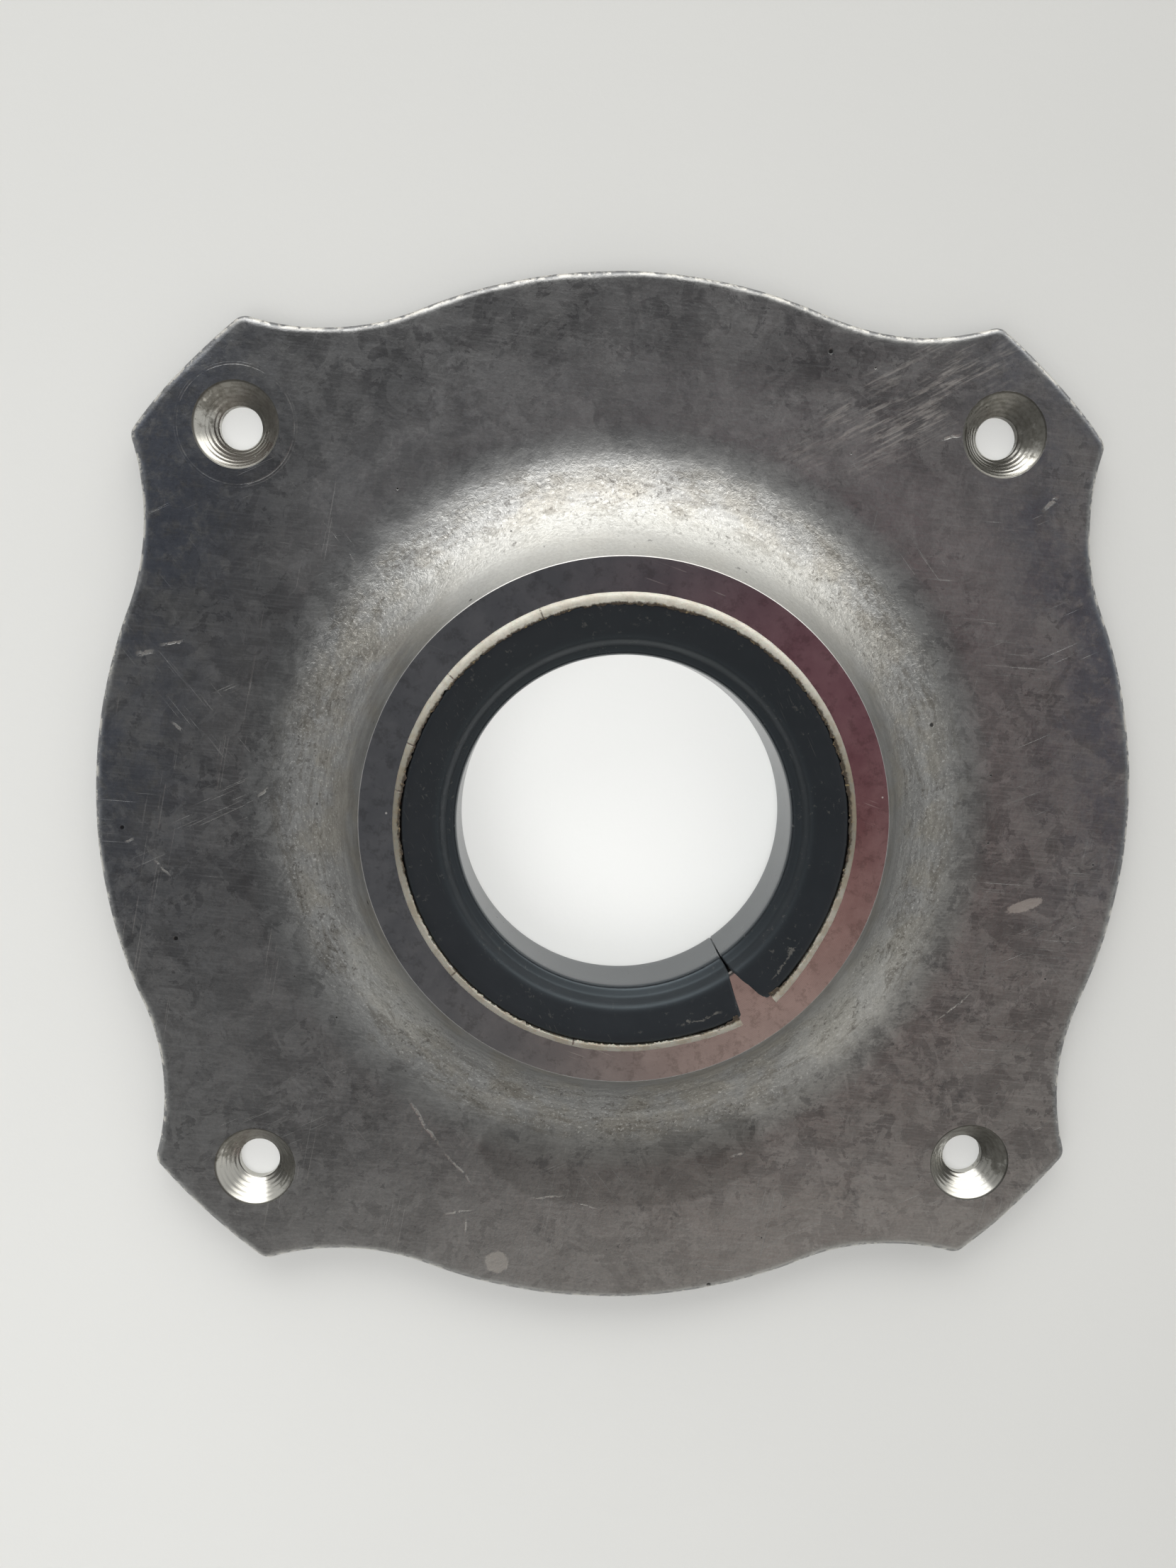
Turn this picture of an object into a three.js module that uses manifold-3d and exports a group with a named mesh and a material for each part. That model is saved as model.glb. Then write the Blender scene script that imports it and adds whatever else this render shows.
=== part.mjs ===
// Stanchion base: a square cast flange with a raised round hub, a split polymer liner in the
// hub's bore, and a bead of sealant around the liner's lip.
// Millimetres. +Z is the bore's axis, the mounting face is z = 0, and the origin is its centre.

import * as THREE from 'three';
import { mergeVertices } from 'three/addons/utils/BufferGeometryUtils.js';
import Module from 'manifold-3d';

const wasm = await Module();
wasm.setup();

// ---- Driving dimensions ----------------------------------------------------------------------

const DEG = Math.PI / 180;

// Flange plate
const FLANGE_THICKNESS = 4.3;
const LOBE_RADIUS = 73.5;          // bulging sides, centred on the bore
const LOBE_HALF_ANGLE = 22.2 * DEG;
const WAIST_RADIUS = 35;           // hollow curve between a lobe and a corner
const CORNER_REACH = 84.5;         // corner ends, centred on the bore
const CORNER_ROUNDING = 2.2;
const EDGE_ROUNDING = 1.2;         // along the plate's front edge

// Screw holes, one in each corner
const HOLE_SPACING = 105;
const HOLE_RADIUS = 2.95;
const HOLE_LAND = 1.1;             // straight wall below the countersink
const COUNTERSINK_RADIUS = 5.75;

// Hub
const HUB_FACE_Z = FLANGE_THICKNESS + 13.2;
const HUB_FACE_RADIUS = 34.85;
const COVE_RADIUS = 19.8;          // hollow curve from the hub's rim down to the plate
const BORE_RADIUS = 24.3;

// Hollow underside
const SHELL_THICKNESS = 5;
const HOLLOW_TOP_Z = 12.4;
const BOSS_RADIUS = 29.6;
const BOSS_FOOT_Z = 5;             // the bore's wall stops this far above the mounting face

// Split liner: [radius, z] points of its section from the bore out to the lip's rim
const FIT_GAP = 0.1;               // between the liner and its neighbours
const LINER_BORE_RADIUS = 22.2;
const THROAT = [LINER_BORE_RADIUS, 15.6];
const LEDGE = [23.5, 16.6];
const LIP_FOOT = [24.5, 18.1];
const LIP_CREST = [28.7, 19.4];
const LIP_RIM = [29.2, 18.8];

// The split, as [distance from the axis, half width] points of a notch that opens outward
const SPLIT_ANGLE = 305.9 * DEG;
const SLIT = [LINER_BORE_RADIUS, 0.15];
const NOTCH_MIDDLE = [27.5, 1.25];
const NOTCH_MOUTH = [31, 2.9];

// Sealant bead
const BEAD_INNER_RADIUS = LIP_RIM[0] + FIT_GAP;
const BEAD_OUTER_RADIUS = 30.35;
const BEAD_SHOULDER = [30.2, 18.9];
const BEAD_TOP_Z = 19.3;
const BEAD_GAP_HALF_WIDTH = 2.5;

// Facets
const TURNED_SEGMENTS = 72;
const HOLE_SEGMENTS = 32;
const OUTLINE_FACET = 4;
const COVE_STEPS = 9;
const CLEAR = 1;                   // how far a cutter runs past what it cuts

// ---- Solids ----------------------------------------------------------------------------------

function solidFrom(geometry) {
  const bare = geometry.clone();
  bare.deleteAttribute('normal');
  bare.deleteAttribute('uv');
  const merged = mergeVertices(bare);
  const index = merged.index.array;
  const corners = [];
  for (let i = 0; i < index.length; i += 3) {
    const [a, b, c] = index.slice(i, i + 3);
    if (a !== b && b !== c && c !== a) corners.push(a, b, c);
  }
  const mesh = new wasm.Mesh({
    numProp: 3,
    vertProperties: new Float32Array(merged.attributes.position.array),
    triVerts: new Uint32Array(corners),
  });
  return new wasm.Manifold(mesh);
}

function geometryFrom(solid) {
  const mesh = solid.getMesh();
  const geometry = new THREE.BufferGeometry();
  geometry.setAttribute('position', new THREE.BufferAttribute(mesh.vertProperties, 3));
  geometry.setIndex(new THREE.BufferAttribute(mesh.triVerts, 1));
  geometry.computeVertexNormals();
  return geometry;
}

// A section of [radius, z] points, in anticlockwise order, turned about the bore's axis.
function turned(section, segments = TURNED_SEGMENTS) {
  const points = section.map(([radius, z]) => new THREE.Vector2(radius, z));
  const lathe = new THREE.LatheGeometry(points, segments);
  lathe.rotateX(90 * DEG);
  return solidFrom(lathe);
}

// A ring's section closes on itself, and a disc's starts and ends on the axis.
function ring(section) {
  return turned([...section, section[0]]);
}

function polar(radius, angle) {
  return [radius * Math.cos(angle), radius * Math.sin(angle)];
}

function arcPoints([x, y], radius, from, to, steps) {
  return Array.from({ length: steps + 1 }, (_, i) => {
    const [dx, dy] = polar(radius, from + ((to - from) * i) / steps);
    return [x + dx, y + dy];
  });
}

function shapeOf(points) {
  return new THREE.Shape(points.map(([x, y]) => new THREE.Vector2(x, y)));
}

// ---- Flange ----------------------------------------------------------------------------------

// The plate's outline as arcs, each tangent to the one before, anticlockwise from one corner's
// middle to the next corner's middle.
function sideArcs() {
  const waistDistance = LOBE_RADIUS + WAIST_RADIUS;
  const roundingDistance = CORNER_REACH - CORNER_ROUNDING;
  const contactDistance = WAIST_RADIUS + CORNER_ROUNDING;
  const between = Math.acos(
    (waistDistance ** 2 + roundingDistance ** 2 - contactDistance ** 2)
      / (2 * waistDistance * roundingDistance),
  );
  const roundingAngle = LOBE_HALF_ANGLE + between;
  const waist = polar(waistDistance, LOBE_HALF_ANGLE);
  const rounding = polar(roundingDistance, roundingAngle);
  const contact = Math.atan2(rounding[1] - waist[1], rounding[0] - waist[0]);
  const half = [
    { centre: waist, radius: WAIST_RADIUS, from: Math.PI + LOBE_HALF_ANGLE, to: contact },
    { centre: rounding, radius: CORNER_ROUNDING, from: contact - Math.PI, to: roundingAngle },
    { centre: [0, 0], radius: CORNER_REACH, from: roundingAngle, to: 45 * DEG },
  ];
  const mirrored = half.map(({ centre, radius, from, to }) => (
    { centre: [centre[0], -centre[1]], radius, from: -to, to: -from }
  ));
  const lobe = { centre: [0, 0], radius: LOBE_RADIUS, from: -LOBE_HALF_ANGLE, to: LOBE_HALF_ANGLE };
  return [...mirrored.reverse(), lobe, ...half];
}

function outlinePoints() {
  const side = sideArcs().flatMap(({ centre, radius, from, to }) => {
    const steps = 2 * Math.ceil((Math.abs(to - from) * radius) / (2 * OUTLINE_FACET));
    return arcPoints(centre, radius, from, to, steps).slice(1);
  });
  return [0, 1, 2, 3].flatMap((turn) => side.map(([x, y]) => {
    const [c, s] = polar(1, turn * 90 * DEG);
    return [c * x - s * y, s * x + c * y];
  }));
}

// Only the front edge is rounded: the back edge's rounding lies below z = 0, where it is cut off.
function plate() {
  const depth = 2 * FLANGE_THICKNESS;
  const geometry = new THREE.ExtrudeGeometry(shapeOf(outlinePoints()), {
    depth,
    bevelThickness: EDGE_ROUNDING,
    bevelSize: EDGE_ROUNDING,
    bevelOffset: -EDGE_ROUNDING,
    bevelSegments: 2,
  });
  geometry.translate(0, 0, FLANGE_THICKNESS - EDGE_ROUNDING - depth);
  return solidFrom(geometry).subtract(belowMountingFace());
}

function belowMountingFace() {
  const width = 4 * CORNER_REACH;
  const depth = 4 * FLANGE_THICKNESS;
  const block = new THREE.BoxGeometry(width, width, depth);
  block.translate(0, 0, -depth / 2);
  return solidFrom(block);
}

// The radius of the arc about the cove's centre where it is at height z.
function coveRadiusAt(z, arcRadius) {
  return COVE_CENTRE[0] - Math.sqrt(arcRadius ** 2 - (COVE_CENTRE[1] - z) ** 2);
}

// The cove meets the plate tangentially and the hub's face at its rim.
const COVE_CENTRE_Z = FLANGE_THICKNESS + COVE_RADIUS;
const COVE_CENTRE = [
  HUB_FACE_RADIUS + Math.sqrt(COVE_RADIUS ** 2 - (COVE_CENTRE_Z - HUB_FACE_Z) ** 2),
  COVE_CENTRE_Z,
];

function coveArc(arcRadius, bottom, top) {
  const angleAt = (z) => Math.PI + Math.asin((COVE_CENTRE[1] - z) / arcRadius);
  return arcPoints(COVE_CENTRE, arcRadius, angleAt(bottom), angleAt(top), COVE_STEPS);
}

function hub() {
  return turned([
    [0, FLANGE_THICKNESS / 2],
    [COVE_CENTRE[0], FLANGE_THICKNESS / 2],
    ...coveArc(COVE_RADIUS, FLANGE_THICKNESS, HUB_FACE_Z),
    [0, HUB_FACE_Z],
  ]);
}

function boreAndHollow() {
  const shell = COVE_RADIUS + SHELL_THICKNESS;
  const mouthRadius = coveRadiusAt(0, shell);
  return turned([
    [0, -CLEAR],
    [mouthRadius, -CLEAR],
    ...coveArc(shell, 0, HOLLOW_TOP_Z),
    [BOSS_RADIUS + 0.6, HOLLOW_TOP_Z + 0.4],
    [BOSS_RADIUS, HOLLOW_TOP_Z - 0.4],
    [BOSS_RADIUS, BOSS_FOOT_Z],
    [BORE_RADIUS, BOSS_FOOT_Z],
    [BORE_RADIUS, HUB_FACE_Z + CLEAR],
    [0, HUB_FACE_Z + CLEAR],
  ]);
}

function screwHole() {
  const slope = (COUNTERSINK_RADIUS - HOLE_RADIUS) / (FLANGE_THICKNESS - HOLE_LAND);
  return turned([
    [0, -CLEAR],
    [HOLE_RADIUS, -CLEAR],
    [HOLE_RADIUS, HOLE_LAND],
    [COUNTERSINK_RADIUS + CLEAR * slope, FLANGE_THICKNESS + CLEAR],
    [0, FLANGE_THICKNESS + CLEAR],
  ], HOLE_SEGMENTS);
}

function baseFlange() {
  let body = plate().add(hub()).subtract(boreAndHollow());
  for (const x of [-HOLE_SPACING / 2, HOLE_SPACING / 2]) {
    for (const y of [-HOLE_SPACING / 2, HOLE_SPACING / 2]) {
      body = body.subtract(screwHole().translate([x, y, 0]));
    }
  }
  return body;
}

// ---- Liner and bead --------------------------------------------------------------------------

// An upright cutter along the split, from [distance, half width] points ordered outward.
function splitCutter(widths) {
  const left = widths.map(([distance, half]) => [distance, half]);
  const right = widths.map(([distance, half]) => [distance, -half]).reverse();
  const height = HUB_FACE_Z + 2 * FLANGE_THICKNESS;
  const geometry = new THREE.ExtrudeGeometry(shapeOf([...left, ...right].reverse()), {
    depth: height,
    bevelEnabled: false,
  });
  geometry.rotateZ(SPLIT_ANGLE);
  return solidFrom(geometry);
}

function splitLiner() {
  const outerRadius = BORE_RADIUS - FIT_GAP;
  const lipUnderside = HUB_FACE_Z + FIT_GAP;
  const section = [
    [outerRadius, BOSS_FOOT_Z],
    [outerRadius, lipUnderside],
    [LIP_RIM[0], lipUnderside],
    LIP_RIM,
    LIP_CREST,
    LIP_FOOT,
    LEDGE,
    THROAT,
    [LINER_BORE_RADIUS, BOSS_FOOT_Z],
  ];
  return ring(section).subtract(splitCutter([
    [SLIT[0] - CLEAR, SLIT[1]],
    SLIT,
    NOTCH_MIDDLE,
    NOTCH_MOUTH,
  ]));
}

function sealantBead() {
  const foot = HUB_FACE_Z + FIT_GAP / 2;
  const section = [
    [BEAD_INNER_RADIUS, foot],
    [BEAD_OUTER_RADIUS, foot],
    BEAD_SHOULDER,
    [(BEAD_INNER_RADIUS + BEAD_SHOULDER[0]) / 2, BEAD_TOP_Z],
    [BEAD_INNER_RADIUS, BEAD_TOP_Z],
  ];
  return ring(section).subtract(splitCutter([
    [LIP_CREST[0], BEAD_GAP_HALF_WIDTH],
    [BEAD_OUTER_RADIUS + CLEAR, BEAD_GAP_HALF_WIDTH],
  ]));
}

// ---- Assembly --------------------------------------------------------------------------------

function named(name, solid, material) {
  const mesh = new THREE.Mesh(geometryFrom(solid), new THREE.MeshStandardMaterial(material));
  mesh.name = name;
  return mesh;
}

const group = new THREE.Group();
group.add(
  named('base_flange', baseFlange(), { color: 0x6e6c6c, roughness: 0.38, metalness: 0.9 }),
  named('split_liner', splitLiner(), { color: 0x1d1f22, roughness: 0.55, metalness: 0 }),
  named('sealant_bead', sealantBead(), { color: 0xd2ccbc, roughness: 0.6, metalness: 0 }),
);

export default group;
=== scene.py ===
"""Looks for the stanchion base: a worn cast flange with turned faces, a split black liner and a
cream sealant bead, on a pale floor in soft light. Metres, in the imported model's own frame."""

import math
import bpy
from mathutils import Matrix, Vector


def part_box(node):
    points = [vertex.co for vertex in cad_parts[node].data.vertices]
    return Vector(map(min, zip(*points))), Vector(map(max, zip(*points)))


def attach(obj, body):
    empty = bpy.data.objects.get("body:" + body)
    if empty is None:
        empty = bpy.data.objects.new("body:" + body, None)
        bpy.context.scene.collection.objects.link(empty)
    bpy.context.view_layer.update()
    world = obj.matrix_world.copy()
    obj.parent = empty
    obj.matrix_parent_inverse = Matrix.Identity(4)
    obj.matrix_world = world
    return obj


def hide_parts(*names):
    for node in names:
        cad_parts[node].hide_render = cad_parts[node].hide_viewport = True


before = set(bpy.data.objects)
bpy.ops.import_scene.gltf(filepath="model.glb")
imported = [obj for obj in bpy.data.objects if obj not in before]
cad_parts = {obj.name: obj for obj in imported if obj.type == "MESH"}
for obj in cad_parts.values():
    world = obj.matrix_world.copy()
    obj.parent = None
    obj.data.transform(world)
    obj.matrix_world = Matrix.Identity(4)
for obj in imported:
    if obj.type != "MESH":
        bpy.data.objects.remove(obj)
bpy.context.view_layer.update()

from types import SimpleNamespace

import bmesh
import bpy
import numpy as np
from mathutils import Matrix, Vector, noise

MM = 0.001
DEG = math.pi / 180

flange_low, flange_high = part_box("base_flange")
liner_low, liner_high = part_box("split_liner")

# ---- Dimensions ----

# Flange plate. Its outline is arcs: a lobe, a hollow waist and a corner end, each tangent.
LOBE_RADIUS = flange_high.x
LOBE_HALF_ANGLE = 22.2 * DEG
WAIST_RADIUS = 35 * MM
CORNER_REACH = 84.5 * MM
CORNER_ROUNDING = 2.2 * MM
PLATE_Z = 4.3 * MM
FRONT_ROUNDING = 1.2 * MM
BACK_ROUNDING = 0.35 * MM
EDGE_UNEVENNESS = 0.22             # of the front rounding

# Screw holes
HOLE_OFFSET = 52.5 * MM
HOLE_RADIUS = 2.95 * MM
COUNTERSINK_RADIUS = 5.75 * MM
HOLE_LAND = 1.1 * MM
HOLE_PLACES = [(x, y) for x in (-HOLE_OFFSET, HOLE_OFFSET) for y in (-HOLE_OFFSET, HOLE_OFFSET)]

# Hub
HUB_FACE_Z = flange_high.z
HUB_FACE_RADIUS = 34.85 * MM
HUB_RIM_ROUNDING = 0.08 * MM
BORE_CHAMFER = 0.2 * MM
COVE_RADIUS = 19.8 * MM
BORE_RADIUS = 24.3 * MM
BOSS_RADIUS = 29.6 * MM
BOSS_EASING = 0.4 * MM
BOSS_FOOT_Z = liner_low.z          # the boss and the liner end together
SHELL_THICKNESS = 5 * MM
HOLLOW_TOP_Z = 12.4 * MM

# Liner
LINER_FOOT_Z = BOSS_FOOT_Z
LINER_BORE_RADIUS = 22.2 * MM
LINER_OUTER_RADIUS = 24.2 * MM
LIP_UNDERSIDE_Z = HUB_FACE_Z + 0.1 * MM
SPLIT_ANGLE = 305.9 * DEG

# Mesh spacing
OUTLINE_SPACING = 0.62 * MM
LINER_COLUMNS = 900
BEAD_COLUMNS = 1800
HOLE_SEGMENTS = 96
COUNTERSINK_STEPS = 12


# ---- Mesh helpers ----

def mesh_object(name, points, faces):
    """An object whose closed surface faces outward."""
    mesh = bpy.data.meshes.new(name)
    mesh.from_pydata([tuple(p) for p in points], [], faces)
    work = bmesh.new()
    work.from_mesh(mesh)
    bmesh.ops.recalc_face_normals(work, faces=work.faces)
    work.to_mesh(mesh)
    work.free()
    obj = bpy.data.objects.new(name, mesh)
    bpy.context.scene.collection.objects.link(obj)
    return obj


def smooth(obj, sharp_angle):
    obj.data.shade_smooth()
    obj.data.set_sharp_from_angle(angle=sharp_angle)


def grid_faces(rows, columns, wrap_rows, wrap_columns):
    """Quads between neighbouring points of a grid held row by row."""
    faces = []
    for i in range(rows if wrap_rows else rows - 1):
        for j in range(columns if wrap_columns else columns - 1):
            below = i * columns
            above = ((i + 1) % rows) * columns
            k = (j + 1) % columns
            faces.append((below + j, below + k, above + k, above + j))
    return faces


def arc(centre, radius, start, end, steps):
    """Points of an arc in a section or an outline, both ends included."""
    angles = np.linspace(start, end, steps + 1)
    return np.column_stack((centre[0] + radius * np.cos(angles), centre[1] + radius * np.sin(angles)))


def smooth_path(corners, steps):
    """A Catmull-Rom curve through corners, with that many steps between each pair."""
    corners = np.array(corners, float)
    padded = np.vstack((2 * corners[0] - corners[1], corners, 2 * corners[-1] - corners[-2]))
    points = []
    for a, b, c, d in zip(padded, padded[1:], padded[2:], padded[3:]):
        for t in np.arange(steps) / steps:
            points.append(0.5 * (2 * b + (c - a) * t + (2 * a - 5 * b + 4 * c - d) * t ** 2
                                 + (3 * b - a - 3 * c + d) * t ** 3))
    points.append(corners[-1])
    return np.array(points)


def noise_at(x, y, z, size):
    """Smooth noise from -1 to 1 whose features are about size across."""
    return noise.noise(Vector((x, y, z)) / size)


# ---- Flange ----

def side_arcs():
    """One side's arcs, anticlockwise: (centre, radius, start angle, end angle)."""
    waist_distance = LOBE_RADIUS + WAIST_RADIUS
    rounding_distance = CORNER_REACH - CORNER_ROUNDING
    contact_distance = WAIST_RADIUS + CORNER_ROUNDING
    between = math.acos((waist_distance ** 2 + rounding_distance ** 2 - contact_distance ** 2)
                        / (2 * waist_distance * rounding_distance))
    rounding_angle = LOBE_HALF_ANGLE + between
    waist = (waist_distance * math.cos(LOBE_HALF_ANGLE), waist_distance * math.sin(LOBE_HALF_ANGLE))
    rounding = (rounding_distance * math.cos(rounding_angle), rounding_distance * math.sin(rounding_angle))
    contact = math.atan2(rounding[1] - waist[1], rounding[0] - waist[0])
    half = [
        (waist, WAIST_RADIUS, math.pi + LOBE_HALF_ANGLE, contact),
        (rounding, CORNER_ROUNDING, contact - math.pi, rounding_angle),
        ((0, 0), CORNER_REACH, rounding_angle, 45 * DEG),
    ]
    mirrored = [((x, -y), radius, -end, -start) for (x, y), radius, start, end in reversed(half)]
    return mirrored + [((0, 0), LOBE_RADIUS, -LOBE_HALF_ANGLE, LOBE_HALF_ANGLE)] + half


def outline():
    """The plate's outline points and their outward normals, anticlockwise."""
    points = []
    normals = []
    for centre, radius, start, end in side_arcs():
        steps = max(8, math.ceil(abs(end - start) * radius / OUTLINE_SPACING))
        stretch = arc(centre, radius, start, end, steps)[1:]
        outward = (stretch - np.array(centre)) / radius
        points.append(stretch)
        normals.append(outward if end > start else -outward)
    points = np.vstack(points)
    normals = np.vstack(normals)
    turns = [np.array(((c, s), (-s, c))) for c, s in ((1, 0), (0, 1), (-1, 0), (0, -1))]
    return np.vstack([points @ t for t in turns]), np.vstack([normals @ t for t in turns])


def cove_arc(radius, bottom, top, steps):
    """Section points of an arc about the cove's centre between two heights."""
    centre_z = PLATE_Z + COVE_RADIUS
    centre_r = HUB_FACE_RADIUS + math.sqrt(COVE_RADIUS ** 2 - (centre_z - HUB_FACE_Z) ** 2)
    angles = [math.pi + math.asin(min(1, (centre_z - z) / radius)) for z in (bottom, top)]
    return arc((centre_r, centre_z), radius, angles[0], angles[1], steps)


def circles(around, section):
    """Rings about the axis, one for each (radius, z) of a section."""
    return [np.column_stack((around * radius, np.full(len(around), z))) for radius, z in section]


def level_rings(inner, outer, z, shares):
    """Rings at one height, at shares of the way from an inner ring to an outer one."""
    height = np.full(len(inner), z)
    return [np.column_stack((inner + (outer - inner) * share, height)) for share in shares]


def hub_section():
    """The bore's wall, the hub's face and the cove down to the plate, as (radius, z)."""
    wall = np.linspace(BOSS_FOOT_Z + BORE_CHAMFER, HUB_FACE_Z - BORE_CHAMFER, 8)
    face = np.linspace(BORE_RADIUS + BORE_CHAMFER, HUB_FACE_RADIUS - HUB_RIM_ROUNDING, 14)
    rim = (HUB_FACE_RADIUS - 0.04 * MM, HUB_FACE_Z - 0.03 * MM)
    cove = cove_arc(COVE_RADIUS, PLATE_Z, HUB_FACE_Z - HUB_RIM_ROUNDING, 44)[::-1]
    section = [(BORE_RADIUS, BOSS_FOOT_Z)] + [(BORE_RADIUS, z) for z in wall]
    return section + [(radius, HUB_FACE_Z) for radius in face] + [rim] + list(cove)


def plate_rings(foot, edge, normal):
    """The plate's front from the cove's foot, its uneven front rounding, and its side."""
    wear = np.array([noise_at(x, y, 0, 9 * MM) for x, y in edge])
    rounding = (FRONT_ROUNDING * (1 + EDGE_UNEVENNESS * wear))[:, None]
    rings = level_rings(foot, edge - normal * rounding, PLATE_Z, np.linspace(0, 1, 34)[1:])
    for turn in np.linspace(0, 90, 9)[1:] * DEG:
        ring = edge - normal * (rounding * (1 - math.sin(turn)))
        rings.append(np.column_stack((ring, PLATE_Z - rounding[:, 0] * (1 - math.cos(turn)))))
    side_heights = np.linspace(PLATE_Z - 1.6 * FRONT_ROUNDING, BACK_ROUNDING, 5)
    rings += [np.column_stack((edge, np.full(len(edge), z))) for z in side_heights]
    rings.append(np.column_stack((edge - normal * 0.1 * MM, np.full(len(edge), 0.1 * MM))))
    return rings


def underside_section():
    """The hollow under the hub, the groove round its boss, and the boss to its foot."""
    shell = cove_arc(COVE_RADIUS + SHELL_THICKNESS, 0, HOLLOW_TOP_Z, 22)
    groove = [(BOSS_RADIUS + 1.0 * MM, HOLLOW_TOP_Z + 0.45 * MM), (BOSS_RADIUS + 0.3 * MM, HOLLOW_TOP_Z)]
    boss = np.linspace(HOLLOW_TOP_Z - 1 * MM, BOSS_FOOT_Z + BOSS_EASING, 8)
    foot = [(BOSS_RADIUS - BOSS_EASING, BOSS_FOOT_Z), ((BOSS_RADIUS + BORE_RADIUS) / 2, BOSS_FOOT_Z)]
    return list(shell) + groove + [(BOSS_RADIUS, z) for z in boss] + foot


def flange_rings():
    """The flange's surface as rings of points, from the bore's foot up, out, under and back."""
    edge, normal = outline()
    angles = np.arctan2(edge[:, 1], edge[:, 0])
    around = np.column_stack((np.cos(angles), np.sin(angles)))
    hub = hub_section()
    under = underside_section()
    mouth = around * (under[0][0] + 0.5 * MM)
    rings = circles(around, hub)
    rings += plate_rings(around * hub[-1][0], edge, normal)
    rings += level_rings(edge - normal * BACK_ROUNDING, mouth, 0, np.linspace(0, 1, 9))
    return rings + circles(around, under[1:])


def uneven_cast(point):
    """A cast point moved a few hundredths of a millimetre; turned and seating faces stay true."""
    x, y, z = point
    radius = math.hypot(x, y)
    turned = radius < HUB_FACE_RADIUS + 0.2 * MM and z > BOSS_FOOT_Z
    if turned or z < 0.5 * MM:
        return point
    dip = 0.05 * MM * noise_at(x, y, z, 16 * MM) + 0.02 * MM * noise_at(x, y, z, 4 * MM)
    on_cove = radius < cove_arc(COVE_RADIUS, PLATE_Z, HUB_FACE_Z, 1)[0][0]
    if on_cove:
        ramp = min(1, (radius - HUB_FACE_RADIUS) / (4 * MM))
        dip = dip + 0.03 * MM * noise_at(x, y, z, 2.2 * MM)
        return (x - dip * ramp * x / radius, y - dip * ramp * y / radius, z - abs(dip) * ramp)
    return (x, y, z - abs(dip) * 0.6)


def lathe(name, section, segments):
    """A closed solid turned about Z from a section that starts and ends on the axis."""
    inner = section[1:-1]
    angles = np.linspace(0, 2 * math.pi, segments, endpoint=False)
    points = [(r * math.cos(a), r * math.sin(a), z) for r, z in inner for a in angles]
    faces = grid_faces(len(inner), segments, False, True)
    last = (len(inner) - 1) * segments
    faces.append(tuple(reversed(range(segments))))
    faces.append(tuple(range(last, last + segments)))
    return mesh_object(name, points, faces)


def hole_cutter(x, y):
    """A through hole, its countersink with the cutter's faint steps, and a slightly eased rim."""
    slope = (COUNTERSINK_RADIUS - HOLE_RADIUS) / (PLATE_Z - HOLE_LAND)
    section = [(0, -1 * MM), (HOLE_RADIUS, -1 * MM), (HOLE_RADIUS, HOLE_LAND)]
    for i in range(1, COUNTERSINK_STEPS + 1):
        z = HOLE_LAND + (PLATE_Z - 0.12 * MM - HOLE_LAND) * i / COUNTERSINK_STEPS
        radius = HOLE_RADIUS + slope * (z - HOLE_LAND)
        section.append((radius - 0.02 * MM, z - 0.03 * MM))
        section.append((radius + 0.02 * MM, z))
    section.append((COUNTERSINK_RADIUS + 0.1 * MM, PLATE_Z - 0.02 * MM))
    section.append((COUNTERSINK_RADIUS + 0.9 * MM, PLATE_Z + 0.5 * MM))
    section.append((0, PLATE_Z + 0.5 * MM))
    cutter = lathe("hole_cutter", section, HOLE_SEGMENTS)
    cutter.data.transform(Matrix.Translation((x, y, 0)))
    return cutter


def cut(obj, cutters):
    """Takes each cutter out of obj, then deletes it."""
    for cutter in cutters:
        modifier = obj.modifiers.new("cut", "BOOLEAN")
        modifier.operation = "DIFFERENCE"
        modifier.solver = "MANIFOLD"
        modifier.object = cutter
    bpy.context.view_layer.update()
    evaluated = obj.evaluated_get(bpy.context.evaluated_depsgraph_get())
    mesh = bpy.data.meshes.new_from_object(evaluated)
    obj.modifiers.clear()
    obj.data = mesh
    for cutter in cutters:
        bpy.data.objects.remove(cutter)


def hole_distance(x, y):
    return math.hypot(abs(x) - HOLE_OFFSET, abs(y) - HOLE_OFFSET)


def flange_slot(x, y, z):
    """Which of the flange's materials is at a place: 0 cast, 1 turned face, 2 countersink."""
    if hole_distance(x, y) < COUNTERSINK_RADIUS + 0.12 * MM and 0 < z < PLATE_Z - 0.01 * MM:
        return 2
    radius = math.hypot(x, y)
    on_face = radius < HUB_FACE_RADIUS and z > HUB_FACE_Z - 0.05 * MM
    in_bore = radius < BORE_RADIUS + 0.1 * MM
    return 1 if on_face or in_bore else 0


def make_flange():
    rings = flange_rings()
    columns = len(rings[0])
    points = [uneven_cast(tuple(p)) for p in np.vstack(rings)]
    obj = mesh_object("flange_casting", points, grid_faces(len(rings), columns, True, True))
    cut(obj, [hole_cutter(x, y) for x, y in HOLE_PLACES])
    obj.data.materials.clear()
    for material in (cast_metal(), turned_face(), turned_cone()):
        obj.data.materials.append(material)
    for face in obj.data.polygons:
        face.material_index = flange_slot(*face.center)
    smooth(obj, 28 * DEG)
    return obj


# ---- Liner ----

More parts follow.
